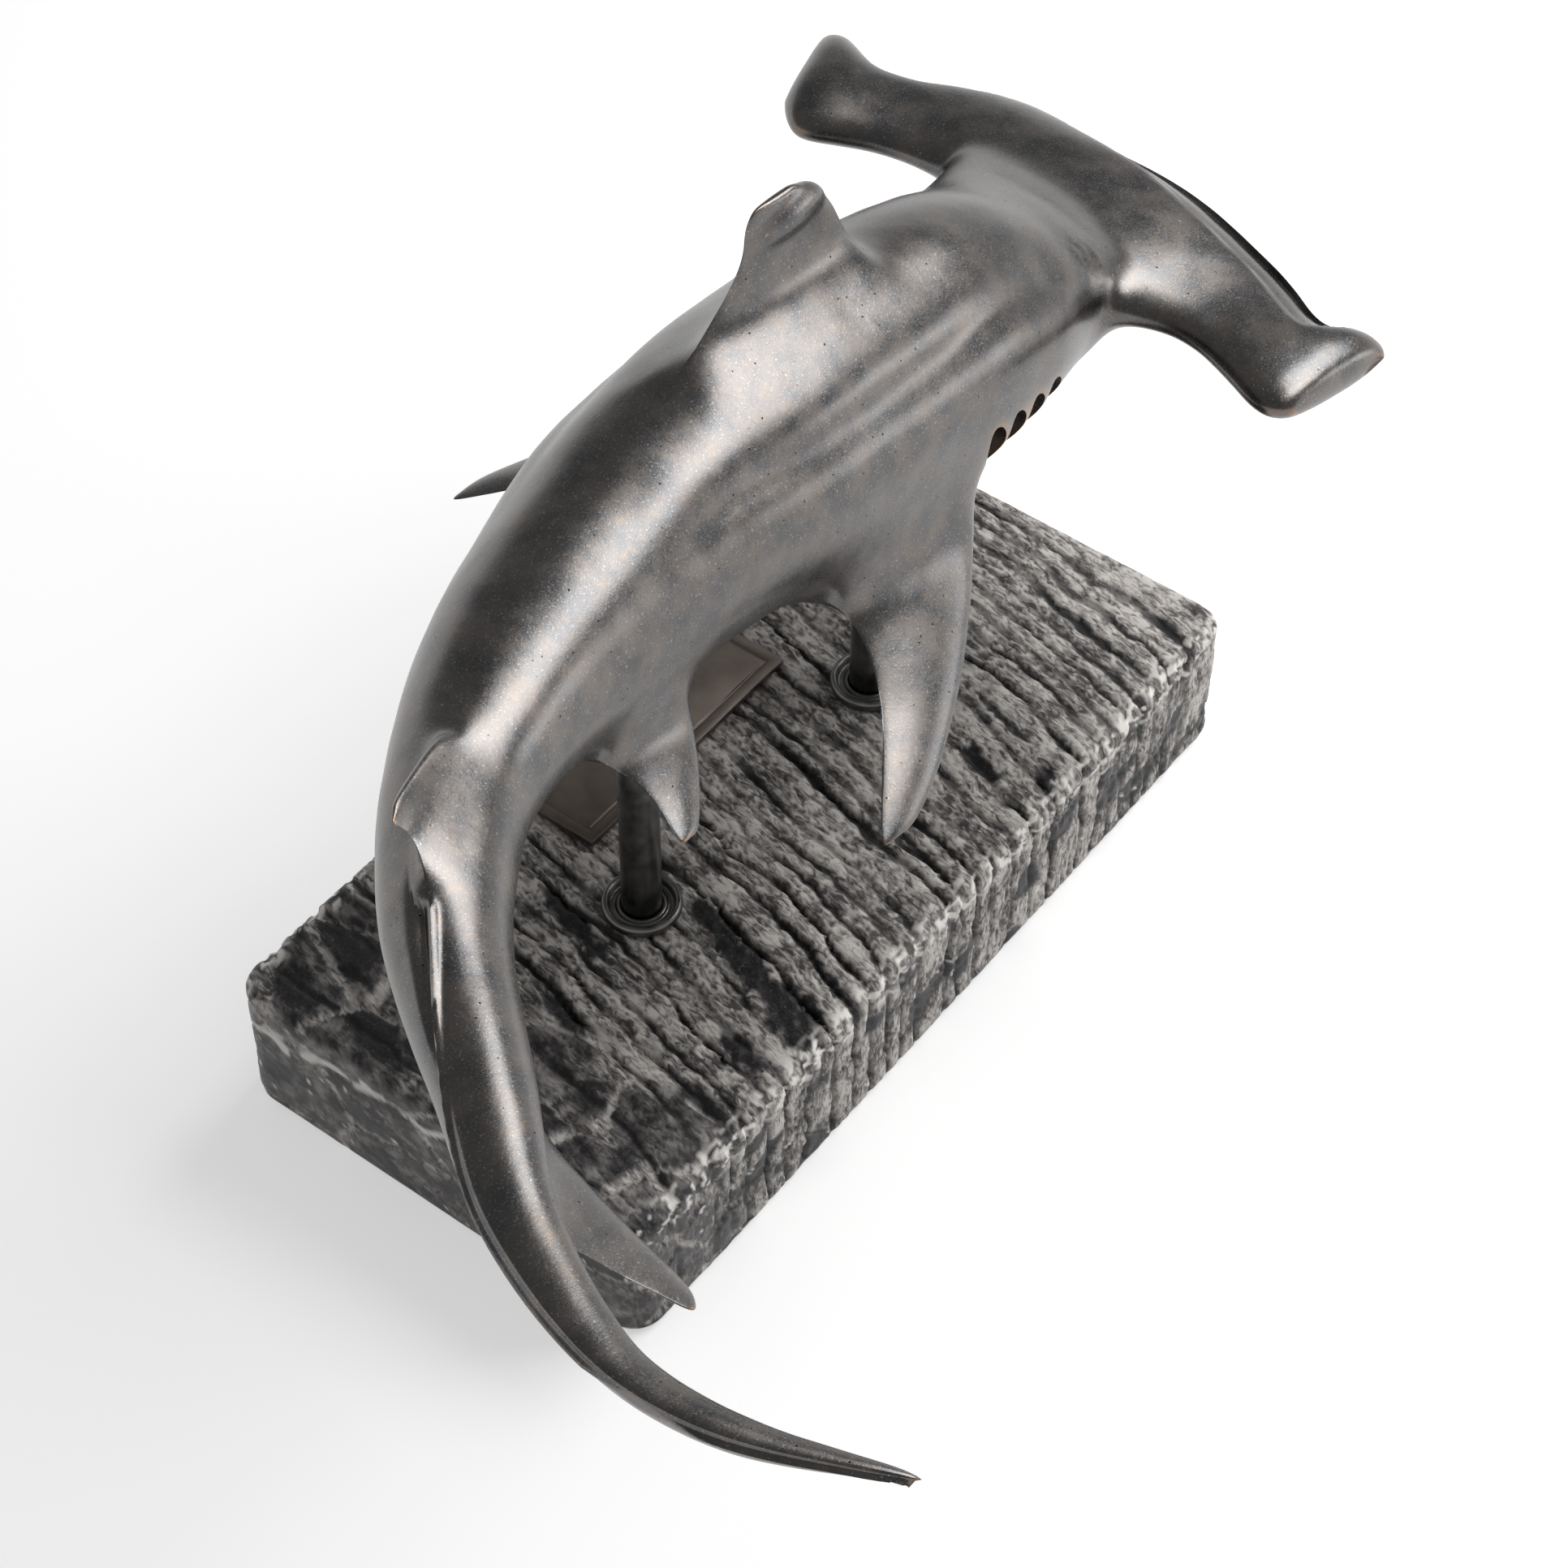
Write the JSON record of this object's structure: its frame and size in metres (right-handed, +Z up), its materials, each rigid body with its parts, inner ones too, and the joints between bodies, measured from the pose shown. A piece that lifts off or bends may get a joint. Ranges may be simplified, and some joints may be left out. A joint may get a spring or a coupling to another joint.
{
  "type": "shark figurine",
  "caption": "Hammerhead shark figurine: a curved metal casting held by posts and collars over a ridged stone slab with a bare name plate.",
  "frame": {"origin": "centre of the stone slab's underside, on the surface that the figurine stands on", "axes": "+X along the slab towards the shark's head, +Y to the shark's left, +Z up"},
  "size_m": [0.4658, 0.3469, 0.2717],
  "materials": {
    "casting": "dark patinated bronze, satin, burnished along the body",
    "bar": "gunmetal, satin",
    "stone": "brushed black and grey veined marble",
    "plate": "satin pewter",
    "fixings": "zinc plated"
  },
  "bodies": {
    "root": {"shark_casting": "casting", "front_post": "bar", "rear_post": "bar", "front_collar": "bar", "rear_collar": "bar", "stone_base": "stone", "name_plate": "plate", "front_washer": "fixings", "rear_washer": "fixings", "front_nut": "fixings", "rear_nut": "fixings"}
  },
  "joints": []
}
